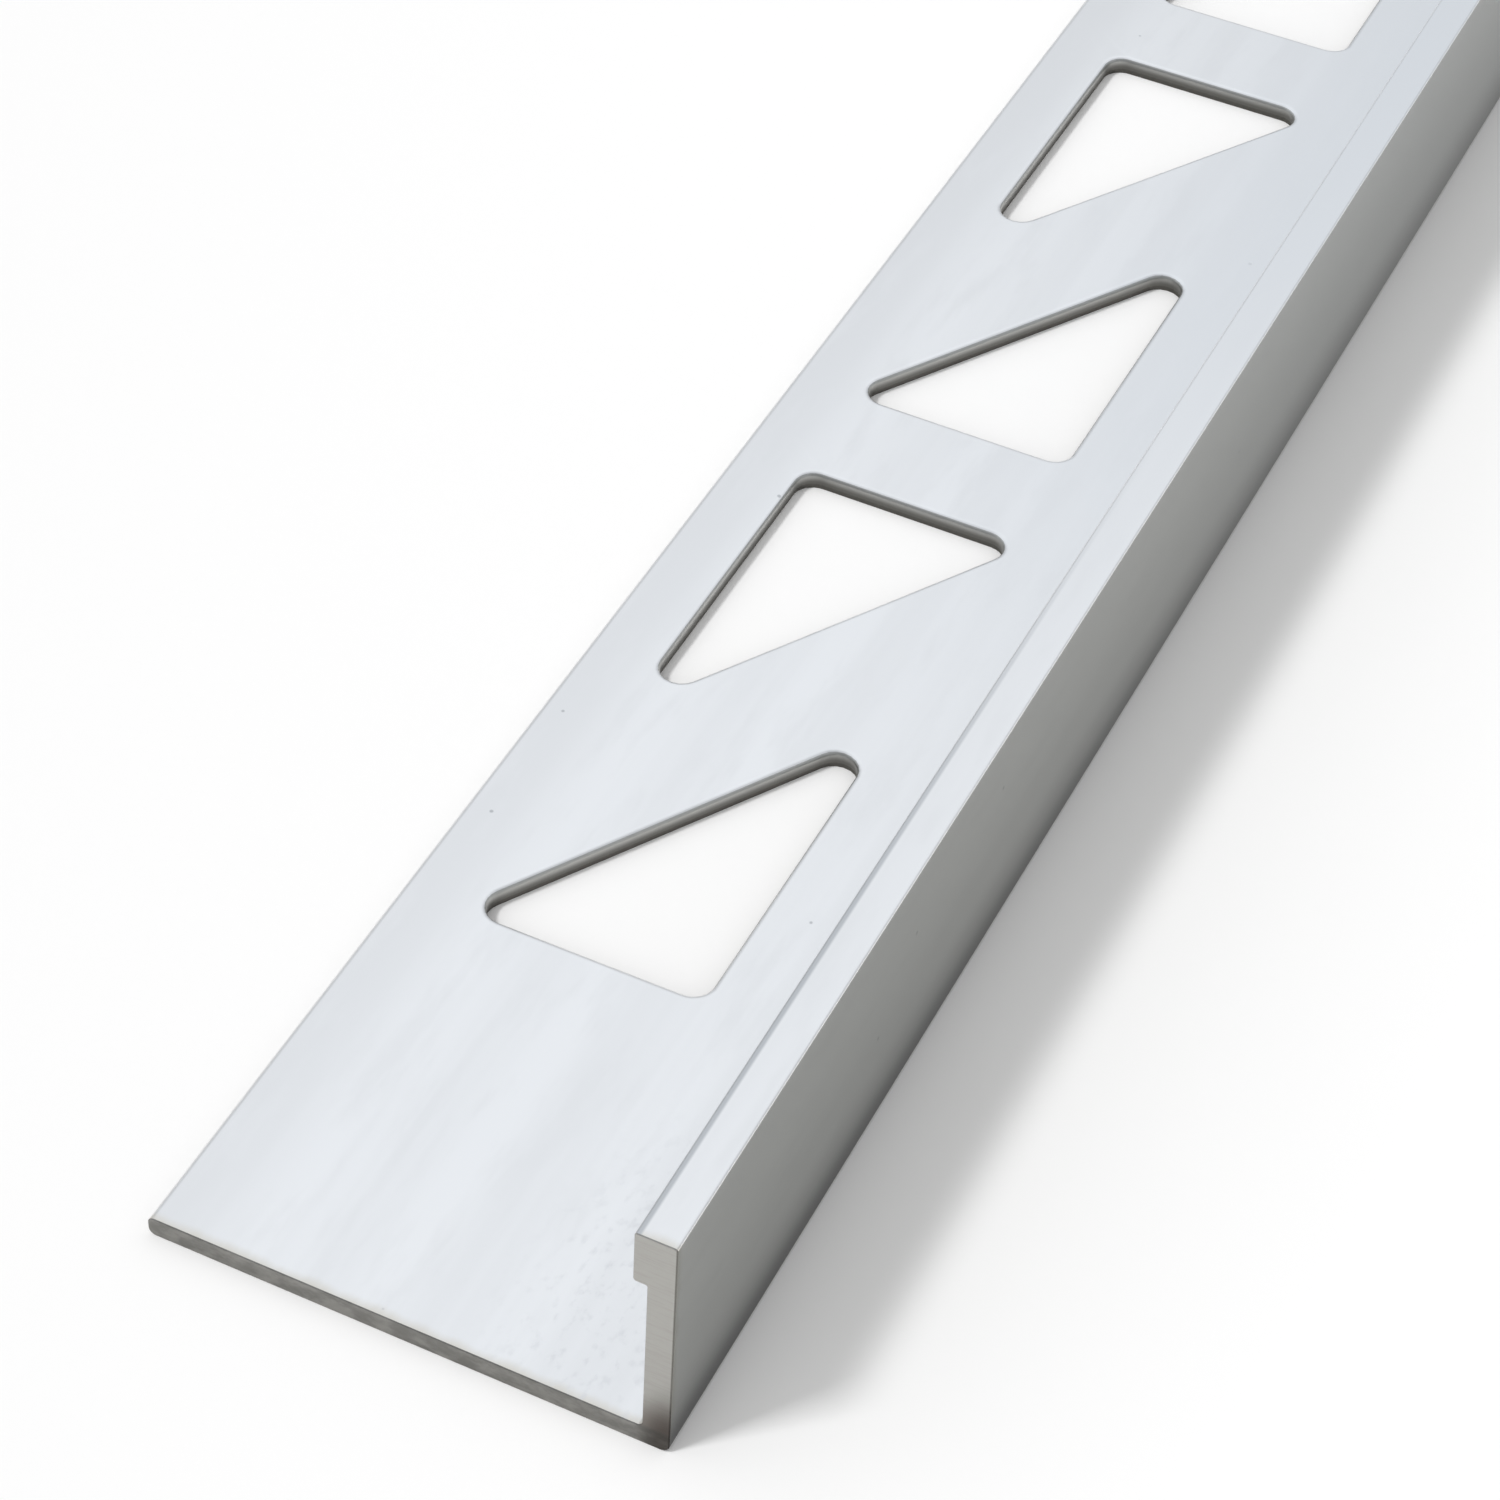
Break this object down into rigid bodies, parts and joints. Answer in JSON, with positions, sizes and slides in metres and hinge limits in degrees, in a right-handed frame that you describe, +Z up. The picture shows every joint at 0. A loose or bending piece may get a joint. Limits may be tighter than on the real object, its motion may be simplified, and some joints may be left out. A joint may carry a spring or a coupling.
{
  "type": "tile edge trim",
  "caption": "Straight extruded aluminium L trim for a tiled edge, with a square lipped head and a thin leg punched with pairs of triangular keying holes.",
  "frame": {"origin": "centre of the bounding box on the underside of the leg", "axes": "+Y along the bar, away from the end nearest the viewer in the picture; +Z up out of the leg, +X towards the outer face of the wall"},
  "size_m": [0.0234, 1, 0.0125],
  "materials": {
    "aluminium": "matt natural aluminium, fine lengthwise drawing lines"
  },
  "bodies": {
    "root": {"edge_trim": "aluminium"}
  },
  "joints": []
}
